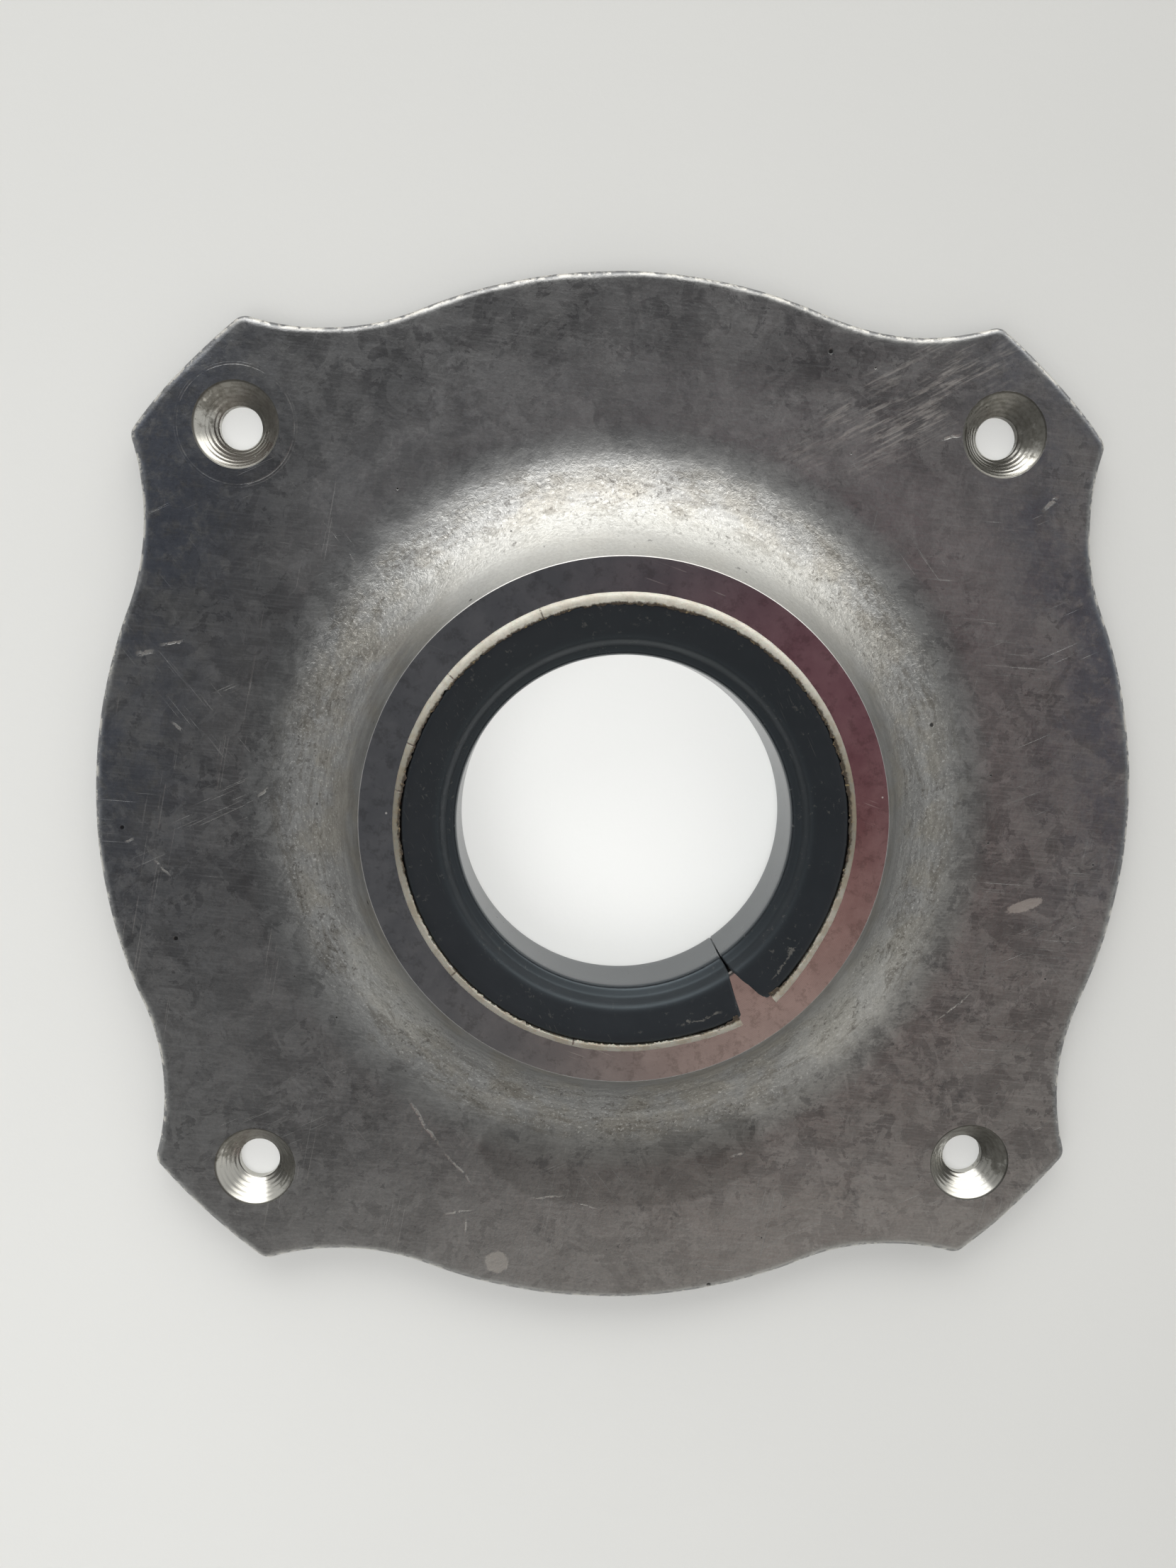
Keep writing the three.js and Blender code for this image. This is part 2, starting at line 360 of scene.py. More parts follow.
# Sections, as (radius, height) in millimetres from the bore's foot, out over the lip.
LINER_FACE = [
    (22.45, 5.0), (22.25, 5.25), (22.2, 6.0), (22.2, 9.0), (22.2, 12.0), (22.2, 14.6), (22.26, 15.3),
    (22.5, 15.8), (23.0, 16.15), (23.42, 16.45), (23.7, 16.85), (23.95, 17.3), (24.2, 17.7), (24.5, 18.02),
    (24.95, 18.25), (25.6, 18.43), (26.6, 18.68), (27.6, 18.92), (28.2, 19.04), (28.7, 19.06),
    (29.02, 18.88), (29.18, 18.45), (29.18, 17.9), (29.1, 17.62),
]
# The notch's half widths before and after the split, as (radius, before, after) in millimetres.
NOTCH = [(22.0, 0.07, 0.07), (23.4, 0.14, 0.12), (24.2, 0.3, 0.25), (26.6, 1.35, 0.95),
         (29.0, 2.1, 1.75), (31.0, 2.7, 2.4)]
SPLIT_CLOSING = (9 * MM, 15 * MM)  # the split narrows downward between these heights
SPLIT_LEAST_OPEN = 0.1
LIP_BULGE = 0.75 * MM
BULGE_SPREAD = 15 * DEG
LIP_RIM_RADIUS = 29.05 * MM
END_EASING = 0.14 * MM             # rounding along the split's edges
CHIP_DEPTH = 0.3 * MM
CHIP_REACH = 2.5 * MM              # how far from the notch its sides are chipped


def from_split(angle):
    """The angle measured from the liner's split, from -180 to 180 degrees."""
    return (angle - SPLIT_ANGLE + math.pi) % (2 * math.pi) - math.pi


def bulge_at(radius, angle):
    """How far the lip's rim is pushed outward beside the notch."""
    share = np.clip((radius - 25.5 * MM) / (3.5 * MM), 0, 1)
    return LIP_BULGE * math.exp(-(from_split(angle) / BULGE_SPREAD) ** 2) * share


def notch_half_width(radius, side):
    radii, before, after = np.array(NOTCH).T * MM
    return float(np.interp(radius, radii, before if side < 0 else after))


def split_columns(radius, z):
    """The columns' angles from just after the split, right round to just before it."""
    openness = np.interp(z, SPLIT_CLOSING, (SPLIT_LEAST_OPEN, 1))
    start = math.asin(openness * notch_half_width(radius, 1) / radius)
    end = math.asin(openness * notch_half_width(radius, -1) / radius)
    return np.linspace(SPLIT_ANGLE + start, SPLIT_ANGLE + 2 * math.pi - end, LINER_COLUMNS)


def liner_sections():
    """The liner's seen face and its hidden back, as (radius, z), and the face's inward normals."""
    face = smooth_path(np.array(LINER_FACE) * MM, 4)
    wall_points = int(len(face) * 0.7)
    lip_points = len(face) - wall_points
    wall = np.column_stack((np.full(wall_points, LINER_OUTER_RADIUS),
                            np.linspace(LINER_FOOT_Z, LIP_UNDERSIDE_Z, wall_points)))
    under = np.column_stack((np.linspace(LINER_OUTER_RADIUS, LIP_RIM_RADIUS, lip_points + 1)[1:],
                             np.full(lip_points, LIP_UNDERSIDE_Z)))
    tangent = np.gradient(face, axis=0)
    tangent /= np.linalg.norm(tangent, axis=1)[:, None]
    return face, np.vstack((wall, under)), np.column_stack((tangent[:, 1], -tangent[:, 0]))


def liner_row(radius, z, inward):
    """Points round the liner at one place of its section, chipped by the notch and eased inward."""
    angles = split_columns(radius, z)
    chip = CHIP_DEPTH * np.clip((radius - 24.5 * MM) / (3 * MM), 0, 1)
    points = []
    for i, angle in enumerate(angles):
        to_end = min(angle - angles[0], angles[-1] - angle) * radius
        near_end = max(0, 1 - to_end / CHIP_REACH)
        shift = chip * near_end * noise_at(radius, z, 0.02 + (i < 9), 0.9 * MM) / radius
        turn = angle + (shift if i < LINER_COLUMNS / 2 else -shift)
        drop = 0
        if to_end < END_EASING:
            drop = END_EASING - math.sqrt(END_EASING ** 2 - (END_EASING - to_end) ** 2)
        r = radius + bulge_at(radius, turn) + inward[0] * drop
        points.append((r * math.cos(turn), r * math.sin(turn), z + inward[1] * drop))
    return points


def closing_faces(rows, columns, offset):
    """Quads that join the rims of two grids, the second's points offset from the first's."""
    along = [row * columns + j for j in range(columns - 1) for row in (0, rows - 1)]
    across = [i * columns + column for i in range(rows - 1) for column in (0, columns - 1)]
    faces = [(a, a + 1, offset + a + 1, offset + a) for a in along]
    return faces + [(a, a + columns, offset + a + columns, offset + a) for a in across]


def make_liner():
    """The liner as two grids of points, its face and its back, joined at their rims."""
    face, back, inward = liner_sections()
    points = []
    for (radius, z), into in zip(face, inward):
        points += liner_row(radius, z, into)
    for radius, z in back:
        points += liner_row(radius, z, (0, 0))
    rows = len(face)
    offset = rows * LINER_COLUMNS
    faces = grid_faces(rows, LINER_COLUMNS, False, False)
    faces += [tuple(offset + k for k in reversed(f)) for f in faces]
    obj = mesh_object("liner_bush", points, faces + closing_faces(rows, LINER_COLUMNS, offset))
    obj.data.materials.append(black_polymer())
    smooth(obj, 40 * DEG)
    return obj


# ---- Sealant bead ----

BEAD_RADIUS = 30.28 * MM           # its steep outer wall
BEAD_MIDDLE = 30                   # millimetres, where its unevenness is taken
BEAD_GAP = 2.65 * MM               # half the break at the liner's notch
BEAD_BULGE = 0.95 * MM
FILM_REACH = 11 * DEG              # how far the thin film beside the notch runs round


def bead_inner_edge(angle):
    """Where the bead ends on the lip: far in at the top, far out by the notch, and ragged."""
    x, y = BEAD_MIDDLE * math.cos(angle), BEAD_MIDDLE * math.sin(angle)
    aside = abs(from_split(angle))
    height = math.cos(angle - 84 * DEG)
    smooth_edge = 29.17 - 0.57 * max(0, height) + 0.25 * math.exp(-(aside / (24 * DEG)) ** 2)
    film = 1.1 * max(0, 1 - (aside / FILM_REACH) ** 2)
    lower = max(0, -math.sin(angle))
    ragged = 0.1 * noise_at(x, y, 9, 5) + 0.13 * noise_at(x, y, 0, 1.3) + 0.2 * noise_at(x, y, 5, 0.45)
    torn = (0.4 + 0.2 * lower) * max(0, noise_at(x, y, 21, 0.8)) + 0.26 * lower * noise_at(x, y, 31, 0.3)
    return (smooth_edge - film + ragged + torn) * MM


def bead_section(angle):
    """The bead's section at one angle: film, crest, steep outer wall, and back under the film."""
    x, y = BEAD_MIDDLE * math.cos(angle), BEAD_MIDDLE * math.sin(angle)
    bulge = BEAD_BULGE * math.exp(-(from_split(angle) / BULGE_SPREAD) ** 2)
    lip_bulge = bulge_at(29.2 * MM, angle)
    inner = bead_inner_edge(angle) + lip_bulge
    outer = BEAD_RADIUS + bulge + 0.04 * MM * noise_at(x, y, 7, 4) + 0.02 * MM * noise_at(x, y, 8, 0.9)
    crest = outer - (0.85 + 0.12 * noise_at(x, y, 3, 3.1)) * MM
    inner = min(inner, crest - 0.1 * MM)
    top = (19.22 + 0.07 * noise_at(x, y, 11, 2.2) + 0.03 * noise_at(x, y, 17, 0.5)) * MM
    low = (19.13 + 0.03 * noise_at(x, y, 13, 0.6)) * MM
    foot = HUB_FACE_Z + 0.04 * MM
    outside = smooth_path([
        (inner, 19.08 * MM), (inner + 0.05 * MM, low), ((inner + crest) / 2, (low + top) / 2),
        (crest, top), (outer - 0.42 * MM, top - 0.13 * MM), (outer - 0.14 * MM, top - 0.45 * MM),
        (outer - 0.02 * MM, foot + 0.8 * MM), (outer, foot),
    ], 3)
    wall = 29.27 * MM + lip_bulge
    under_film = (max(wall - 0.2 * MM, inner + 0.03 * MM), 19.0 * MM)
    return np.vstack((outside, [(wall, foot), (wall - 0.02 * MM, 18.55 * MM), under_film]))


def make_bead():
    """A hand-run bead of sealant round the lip, broken at the liner's notch."""
    end = math.asin(BEAD_GAP / (30.8 * MM))
    angles = np.linspace(SPLIT_ANGLE + end, SPLIT_ANGLE + 2 * math.pi - end, BEAD_COLUMNS)
    points = []
    for angle in angles:
        section = bead_section(angle)
        points += [(r * math.cos(angle), r * math.sin(angle), z) for r, z in section]
    count = len(section)
    faces = grid_faces(len(angles), count, False, True)
    faces.append(tuple(range(count)))
    faces.append(tuple(reversed(range(len(points) - count, len(points)))))
    obj = mesh_object("bead_of_sealant", points, faces)
    obj.data.materials.append(cream_sealant())
    smooth(obj, 60 * DEG)
    return obj


# ---- Material helpers ----

def feed(tree, socket, value):
    """Joins another socket to a node tree's socket, or sets its value."""
    if isinstance(value, bpy.types.NodeSocket):
        tree.links.new(value, socket)
    elif value is not None:
        socket.default_value = value


def vector_node(tree, operation, a, b=None, scale=None):
    """The result of a Vector Math node."""
    node = tree.nodes.new("ShaderNodeVectorMath")
    node.operation = operation
    for socket, value in zip((node.inputs[0], node.inputs[1], node.inputs[3]), (a, b, scale)):
        feed(tree, socket, value)
    return node.outputs["Value" if operation in ("LENGTH", "DOT_PRODUCT") else "Vector"]


class Graph:
    """A material's nodes around one Principled shader. Lengths in its patterns are millimetres."""

    def __init__(self, name, **settings):
        self.material = bpy.data.materials.new(name)
        self.material.use_nodes = True
        self.nodes = self.material.node_tree.nodes
        self.nodes.clear()
        self.shader = self.node("BsdfPrincipled", **settings)
        self.node("OutputMaterial", Surface=self.shader.outputs[0])
        coordinates = self.node("TexCoord").outputs["Object"]
        self.place = self.vector("SCALE", coordinates, scale=1 / MM)
        self.x, self.y, self.z = self.axes(self.place)
        self.flat = self.vector("MULTIPLY", self.place, (1, 1, 0))
        self.radius = self.vector("LENGTH", self.flat)

    def feed(self, socket, value):
        feed(self.material.node_tree, socket, value)

    def set(self, socket, value):
        self.feed(self.shader.inputs[socket], value)

    def node(self, kind, **inputs):
        """A new node with its named inputs fed."""
        node = self.nodes.new("ShaderNode" + kind)
        for name, value in inputs.items():
            self.feed(node.inputs[name.replace("_", " ")], value)
        return node

    def math(self, operation, a, b=None, c=None):
        node = self.node("Math")
        node.operation = operation
        for socket, value in zip(node.inputs, (a, b, c)):
            self.feed(socket, value)
        return node.outputs[0]

    def vector(self, operation, a, b=None, scale=None):
        return vector_node(self.material.node_tree, operation, a, b, scale)

    def axes(self, vector):
        return self.node("SeparateXYZ", Vector=vector).outputs

    def noise(self, size, detail=3, roughness=0.55, distortion=0, vector=None):
        """Noise centred on 0.5 whose features are about size millimetres."""
        node = self.node("TexNoise", Vector=vector or self.place, Scale=1 / size, Detail=detail,
                         Roughness=roughness, Distortion=distortion)
        return node.outputs["Fac"]

    def dots(self, spacing, size, share):
        """1 on round specks, one in some of the cells of a loose grid, 0 between them."""
        shifted = self.vector("ADD", self.place, (spacing, 0, 0))
        node = self.node("TexVoronoi", Vector=shifted, Scale=1 / spacing)
        chosen = self.rise(self.axes(node.outputs["Color"])[0], share + 0.01, share)
        near = self.rise(node.outputs["Distance"], size / spacing, 0.5 * size / spacing)
        return self.product(near, chosen)

    def turned(self, angle, stretch, shift=(0, 0, 0)):
        """The place, turned about Z and squeezed along its new X, so that patterns run along X."""
        node = self.node("Mapping", Vector=self.place, Location=shift, Rotation=(0, 0, angle))
        return self.vector("MULTIPLY", node.outputs[0], (1 / stretch, 1, 1))

    def around(self, mean_radius, stretch):
        """The place with its patterns stretched round the Z axis, at about mean_radius from it."""
        circle = self.vector("SCALE", self.vector("NORMALIZE", self.flat), scale=mean_radius / stretch)
        outward = self.node("CombineXYZ", Z=self.radius)
        return self.vector("ADD", circle, outward.outputs[0])

    def rise(self, value, low, high, top=1.0):
        """0 at low, top at high, and smooth between; high may be below low."""
        node = self.node("MapRange", Value=value, From_Min=low, From_Max=high, To_Max=top)
        node.interpolation_type = "SMOOTHSTEP"
        return node.outputs[0]

    def band(self, value, centre, reach):
        """1 where value is at centre, falling to 0 at reach from it."""
        return self.rise(self.math("ABSOLUTE", self.math("SUBTRACT", value, centre)), reach, reach * 0.3)

    def mix(self, share, a, b):
        """From number a to number b."""
        node = self.node("Mix")
        self.feed(node.inputs[0], share)
        self.feed(node.inputs[2], a)
        self.feed(node.inputs[3], b)
        return node.outputs[0]

    def tint(self, share, a, b):
        """From colour a to colour b."""
        node = self.node("Mix")
        node.data_type = "RGBA"
        self.feed(node.inputs[0], share)
        self.feed(node.inputs[6], colour(a))
        self.feed(node.inputs[7], colour(b))
        return node.outputs[2]

    def layered(self, base, layers):
        """A colour with each (mask, strength, colour) laid over the last."""
        for where, strength, over in layers:
            base = self.tint(self.product(where, strength), base, over)
        return base

    def fold(self, operation, values):
        result = values[0]
        for value in values[1:]:
            result = self.math(operation, result, value)
        return result

    def product(self, *values):
        return self.fold("MULTIPLY", values)

    def total(self, *values):
        return self.fold("ADD", values)

    def largest(self, *values):
        return self.fold("MAXIMUM", values)

    def bump(self, height, depth, below=None):
        """Normals for a height from 0 to 1 that stands depth millimetres tall."""
        return self.node("Bump", Distance=depth * MM, Height=height, Normal=below).outputs[0]

    def strokes(self, lines, wander=0.7):
        """1 on ragged strokes, each (start, end, width) between two (x, y) places, 0 off them."""
        bent = self.math("MULTIPLY_ADD", self.noise(3.5, 3, 0.6), 2 * wander, -wander)
        broken = self.rise(self.noise(0.7, 3), 0.36, 0.52)
        marks = []
        for (ax, ay), (bx, by), width in lines:
            length = math.hypot(bx - ax, by - ay)
            along = ((bx - ax) / length, (by - ay) / length, 0)
            off = self.vector("SUBTRACT", self.place, (ax, ay, 0))
            run = self.vector("DOT_PRODUCT", off, along)
            across = self.vector("DOT_PRODUCT", off, (-along[1], along[0], 0))
            near = self.band(self.math("ADD", across, bent), 0, width)
            marks.append(self.product(near, self.band(run, length / 2, length / 2 + width)))
        return self.product(self.largest(*marks), broken)

    def patch(self, centre, radii, angle=0, ragged=0.35, edge=0.25):
        """1 inside a ragged oval at an (x, y) place, 0 outside it."""
        off = self.vector("SUBTRACT", self.flat, (*centre, 0))
        node = self.node("Mapping", Vector=off, Rotation=(0, 0, angle), Scale=(*radii, 1))
        node.vector_type = "TEXTURE"
        distance = self.vector("LENGTH", node.outputs[0])
        wobble = self.math("MULTIPLY_ADD", self.noise(min(radii) / 2, 4, 0.65), 2 * ragged, -ragged)
        return self.rise(self.math("ADD", distance, wobble), 1 + edge / 2, 1 - edge / 2)


def colour(value):
    return value if isinstance(value, bpy.types.NodeSocket) else (*value, 1)


def scratches(graph, angle, width, length, share, shift):
    """Fine straight scratches at one angle, thinned out so that only a share of them show."""
    lines = graph.noise(width * 2, 2, 0.4, 0.3, graph.turned(angle, length / width, shift))
    where = graph.noise(11, 3, 0.6, vector=graph.turned(angle, 2.5, shift))
    return graph.product(graph.rise(lines, 0.66, 0.72), graph.rise(where, 0.62 - share, 0.7 - share))


# ---- Materials ----

# Marks on the flange's front, as (start, end, half width) in millimetres.
GOUGES = [
    ((-30.5, -42.0), (-25.3, -50.2), 0.26), ((-25.3, -50.2), (-20.6, -55.9), 0.2),
    ((-25.2, -60.2), (-20.7, -59.3), 0.22), ((-22.1, -60.6), (-21.9, -63.2), 0.18),
    ((-12.3, -57.7), (-7.4, -57.2), 0.2), ((-6.2, -58.4), (-2.4, -59.5), 0.16),
    ((17.0, -51.5), (19.4, -50.9), 0.24), ((-66.9, 21.6), (-64.4, 21.7), 0.4),
    ((-63.8, 22.6), (-59.9, 23.6), 0.26), ((-62.5, 12.1), (-60.7, 11.0), 0.22),
    ((-50.9, 2.0), (-49.2, 3.1), 0.26), ((-65.7, -7.0), (-63.2, -9.8), 0.2),
    ((-69.3, -4.7), (-68.2, -4.2), 0.22), ((46.3, -30.9), (52.2, -26.4), 0.14),
    ((58.4, 42.4), (60.5, 44.2), 0.4), ((43.6, 51.6), (46.6, 52.5), 0.26),
]

COVE_GREY = (0.46, 0.46, 0.455)
COVE_BROWN = (0.45, 0.43, 0.39)


def stain_masks(g):
    """Where the cast skin is stained, dulled or rubbed pale, and where it is lighter near its bottom edge.
    """
    m = SimpleNamespace()
    stain = g.noise(12, 6, 0.6, 0.9)
    m.stained = g.rise(stain, 0.49, 0.53)
    m.tide_mark = g.product(g.band(stain, 0.495, 0.008), g.rise(g.noise(18, 2), 0.4, 0.6))
    m.mottle = g.rise(g.noise(4.5, 7, 0.78, 0.5), 0.45, 0.58)
    large = g.rise(g.noise(6, 7, 0.62, 0.8), 0.52, 0.526)
    small = g.rise(g.noise(2.6, 6, 0.65, 0.5), 0.575, 0.585)
    upright = g.rise(g.noise(2.4, 7, 0.72, 0.3, g.turned(0, 1.4)), 0.62, 0.63)
    upright = g.product(upright, g.rise(g.y, 38, 52))
    patches = g.largest(g.product(large, 0.55), g.product(small, 0.8), upright)
    m.patches = g.product(patches, g.rise(g.noise(20, 3, 0.6), 0.36, 0.52))
    worn = g.product(g.rise(g.noise(3.4, 6, 0.66, 1.0), 0.565, 0.575),
                     g.rise(g.noise(16, 3, 0.6), 0.42, 0.58))
    brush = g.rise(g.noise(0.3, 3, 0.6, 0, g.turned(6 * DEG, 18)), 0.45, 0.7)
    m.polished = g.largest(worn, g.product(brush, 0.8))
    m.blued = g.product(g.rise(g.radius, 52, 74), g.rise(g.math("ABSOLUTE", g.x), 42, 62),
                        g.rise(g.y, -30, 15), g.rise(g.noise(12, 4, 0.6), 0.3, 0.55),
                        g.rise(g.noise(2.2, 6, 0.75), 0.3, 0.56))
    m.pool = g.product(g.patch((1, -50), (21, 9), 0, 0.16, 0.07), front_side(g))
    # Lighter towards the bottom edge.
    m.lower_edge = g.rise(g.y, -46, -66)
    m.upper = g.product(g.rise(g.y, 18, 48), g.rise(g.radius, 67, 58), g.rise(g.x, -62, -40))
    smudge_area = g.largest(g.rise(g.noise(15, 3, 0.55), 0.47, 0.62),
                            g.patch((-6, -50.5), (12, 4.6), -0.1), g.rise(g.y, 38, 64, 0.7))
    m.smudge = g.product(g.rise(g.noise(2.7, 6, 0.78, 0.3), 0.52, 0.64), smudge_area)
    return m


def cove_masks(g):
    """The cove's extent, its streaks round the hub, its pits, stains and bright flecks, and a painted
    highlight on its top crescent.
    """
    m = SimpleNamespace()
    m.extent = g.product(g.rise(g.radius, 50, 43.2), g.rise(g.radius, 33, 36))
    m.band = g.product(g.rise(g.radius, 50, 46), g.rise(g.radius, 37, 39.5))
    # Painted highlight: the cove's top crescent, which faces the window's light, is made paler.
    from_top = g.math("SUBTRACT", g.math("ARCTAN2", g.y, g.x), 83 * DEG)
    m.clean = g.product(g.rise(g.math("COSINE", from_top), 0.4, 0.85), g.rise(g.radius, 44.5, 40),
                        g.rise(g.z, 5, 6))
    m.pale = g.largest(g.patch((-32, -24.5), (9, 4.5), -53 * DEG, 0.4, 0.8),
                       g.patch((33, -27), (12, 5.5), 50 * DEG, 0.4, 0.8))
    m.streaks = g.noise(0.7, 4, 0.65, 0.3, g.around(43, 9))
    m.peel = g.noise(0.8, 4, 0.72, 0.4)
    m.pits = g.product(g.rise(m.peel, 0.52, 0.64), m.band, g.rise(g.noise(9, 3, 0.6), 0.36, 0.6))
    m.stain = g.product(g.rise(g.noise(2.4, 6, 0.78, 0.5, g.around(43, 2.5)), 0.5, 0.62),
                        g.band(g.radius, 44.5, 6.5))
    m.flecks = g.product(g.rise(g.noise(0.45, 3, 0.7), 0.56, 0.68), m.band)
    return m


def front_side(g):
    """1 on the flange's front, 0 on its underside."""
    return g.rise(g.z, 2, 3)


def wear_masks(g):
    """Scratches, gouges, pits and marks left by tools, screws and handling, a painted highlight mixed into
    the wear along the edge, and painted shade on the front rounding.
    """
    m = SimpleNamespace()
    front = front_side(g)
    m.grain = g.noise(0.42, 3, 0.65)
    m.specks = g.product(g.rise(g.noise(0.85, 3, 0.6), 0.66, 0.72), g.rise(g.noise(10, 3, 0.6), 0.48, 0.6))
    m.pits = g.largest(g.dots(7, 0.42, 0.22), g.dots(3.1, 0.2, 0.12))
    scratch = g.largest(scratches(g, 4 * DEG, 0.1, 9, 0.05, (3, 7, 1)),
                        scratches(g, 101 * DEG, 0.1, 8, 0.07, (11, 2, 5)),
                        scratches(g, 52 * DEG, 0.1, 5, 0.05, (5, 17, 9)),
                        scratches(g, -24 * DEG, 0.1, 6, 0.05, (25, 7, 3)))
    m.scratch = g.product(scratch, g.rise(g.y, 56, 40, 0.75))
    lines = g.rise(g.noise(0.4, 4, 0.7, 0.3, g.turned(-27 * DEG, 11)), 0.44, 0.62)
    rubs = g.rise(g.noise(2.6, 4, 0.65, 0.2, g.turned(-27 * DEG, 2.5)), 0.4, 0.62)
    brushed = g.product(front, lines, rubs, g.patch((38, 56), (15, 6), 26 * DEG, 0.5, 0.9))
    rubbed = g.largest(g.patch((58.8, -13.6), (2.7, 0.8), 18 * DEG), g.patch((-17.4, -67.5), (1.7, 1.7)))
    m.gouge = g.product(g.strokes(GOUGES), front)
    top_left_hole = (-HOLE_OFFSET / MM, HOLE_OFFSET / MM, 0)
    from_hole = g.vector("LENGTH", g.vector("SUBTRACT", g.flat, top_left_hole))
    rings = g.largest(g.band(from_hole, 7.9, 0.1), g.product(g.band(from_hole, 8.25, 0.1), 0.5))
    m.scribed = g.product(front, rings, g.rise(g.noise(2.5, 3, 0.6), 0.36, 0.6))
    m.washer_mark = g.product(g.rise(from_hole, 8.4, 7.4), g.rise(g.noise(1.2, 5, 0.7), 0.36, 0.6))
    # Pale patches along the edge: worn metal, and partly a painted highlight on the rounded edge.
    edge = g.product(g.rise(g.radius, 62, 66), g.rise(g.z, 4.27, 3.95), g.rise(g.z, 2.7, 3.5),
                     g.rise(g.noise(2.2, 5, 0.75), 0.46, 0.56))
    # Painted shade: the front rounding is darkened to dim the highlight along the edge.
    m.rounding = g.product(g.rise(g.radius, 58, 62), g.rise(g.z, 4.28, 4.05))
    m.bright = g.largest(g.product(brushed, 0.6), g.product(rubbed, front, 0.55), g.product(m.gouge, 0.55),
                         g.product(m.scribed, 0.2), g.product(edge, 0.75))
    return m


def cast_colour(g, stains, cove, wear):
    """The cast skin's colour, with each mark laid over the last."""
    cove_tone = g.tint(g.rise(g.noise(7, 4, 0.6), 0.42, 0.62), COVE_GREY, COVE_BROWN)
    cove_tone = g.tint(g.rise(cove.streaks, 0.38, 0.66), g.tint(0.24, cove_tone, (0, 0, 0)), cove_tone)
    cloud = g.rise(g.noise(34, 3, 0.5, 0.4), 0.35, 0.65)
    base = g.tint(cloud, (0.368, 0.371, 0.368), (0.328, 0.33, 0.326))
    return g.layered(base, [
        (stains.stained, 0.09, (0.05, 0.05, 0.05)),
        (stains.mottle, 0.2, (0.05, 0.05, 0.05)),
        (stains.tide_mark, 0.16, (0.04, 0.04, 0.04)),
        (stains.patches, 0.5, (0.06, 0.06, 0.065)),
        (stains.polished, 0.2, (0.66, 0.66, 0.66)),
        (stains.blued, 0.8, (0.17, 0.19, 0.235)),
        (stains.pool, 0.34, (0.05, 0.05, 0.045)),
        (stains.lower_edge, 0.32, (0.62, 0.61, 0.59)),
        (stains.upper, 0.3, (0.66, 0.66, 0.655)),
        (stains.smudge, 0.42, (0.06, 0.062, 0.068)),
        (cove.extent, 0.85, cove_tone),
        # painted highlight on the cove's top crescent
        (cove.clean, 0.8, (0.62, 0.62, 0.6)),
        (cove.pale, 0.4, (0.7, 0.7, 0.67)),
        (cove.stain, 0.5, (0.17, 0.155, 0.13)),
        (cove.pits, 0.5, (0.08, 0.07, 0.06)),
        (cove.flecks, 0.45, (0.85, 0.85, 0.83)),
        (g.rise(wear.grain, 0.35, 0.7), 0.14, (0.08, 0.08, 0.08)),
        (wear.washer_mark, 0.22, (0.08, 0.09, 0.1)),
        (wear.specks, 0.5, (0.05, 0.05, 0.055)),
        # painted shade on the front rounding
        (wear.rounding, 0.45, (0.12, 0.125, 0.14)),
        (wear.pits, 0.85, (0.03, 0.03, 0.03)),
        (wear.scratch, 0.17, (0.75, 0.74, 0.71)),
        # pale marks and worn edges, the edges partly a painted highlight
        (wear.bright, 1, (0.8, 0.78, 0.73)),
    ])


def cast_roughness(g, stains, cove, wear):
    uneven = g.math("MULTIPLY_ADD", g.noise(5, 4, 0.65), 0.12, -0.06)
    rough = g.total(g.mix(stains.stained, 0.36, 0.33), uneven, g.product(stains.smudge, 0.05))
    rough = g.mix(g.product(cove.extent, 0.8), rough, g.mix(cove.streaks, 0.3, 0.42))
    rough = g.mix(g.rise(g.radius, 43, 40), rough, 0.45)
    rough = g.mix(g.largest(cove.pits, wear.specks), rough, 0.55)
    return g.mix(g.largest(wear.scratch, wear.bright), rough, 0.42)


def cast_bumps(g, cove, wear):
    swell = g.bump(g.noise(9, 2, 0.5), 0.1)
    peel = g.bump(g.product(cove.peel, g.mix(cove.band, 0.25, 1)), 0.16, swell)
    combed = g.bump(g.product(cove.streaks, cove.extent), 0.02, peel)
    tooth = g.bump(wear.grain, 0.008, combed)
    dents = g.largest(g.product(wear.scratch, 0.4), wear.gouge, wear.pits, g.product(cove.pits, 0.6),
                      g.product(wear.scribed, 0.4))
    return g.bump(g.math("SUBTRACT", 1, dents), 0.04, tooth)


def cast_metal():
    """Hand-finished cast alloy: tide marks, smudges, pits, scratches, and streaks round the cove."""
    g = Graph("cast_metal", Metallic=1.0)
    stains = stain_masks(g)
    cove = cove_masks(g)
    wear = wear_masks(g)
    g.set("Base Color", cast_colour(g, stains, cove, wear))
    g.set("Roughness", cast_roughness(g, stains, cove, wear))
    g.set("Normal", cast_bumps(g, cove, wear))
    return g.material


def turning_marks(g, radius, spacing):
    """Concentric tool marks, uneven from one turn to the next, as a height."""
    turns = g.math("SINE", g.product(radius, 2 * math.pi / spacing))
    spread = g.node("CombineXYZ", X=radius).outputs[0]
    uneven = g.noise(spacing * 2.5, 4, 0.7, vector=spread)
    return g.math("MULTIPLY_ADD", turns, 0.12, uneven)


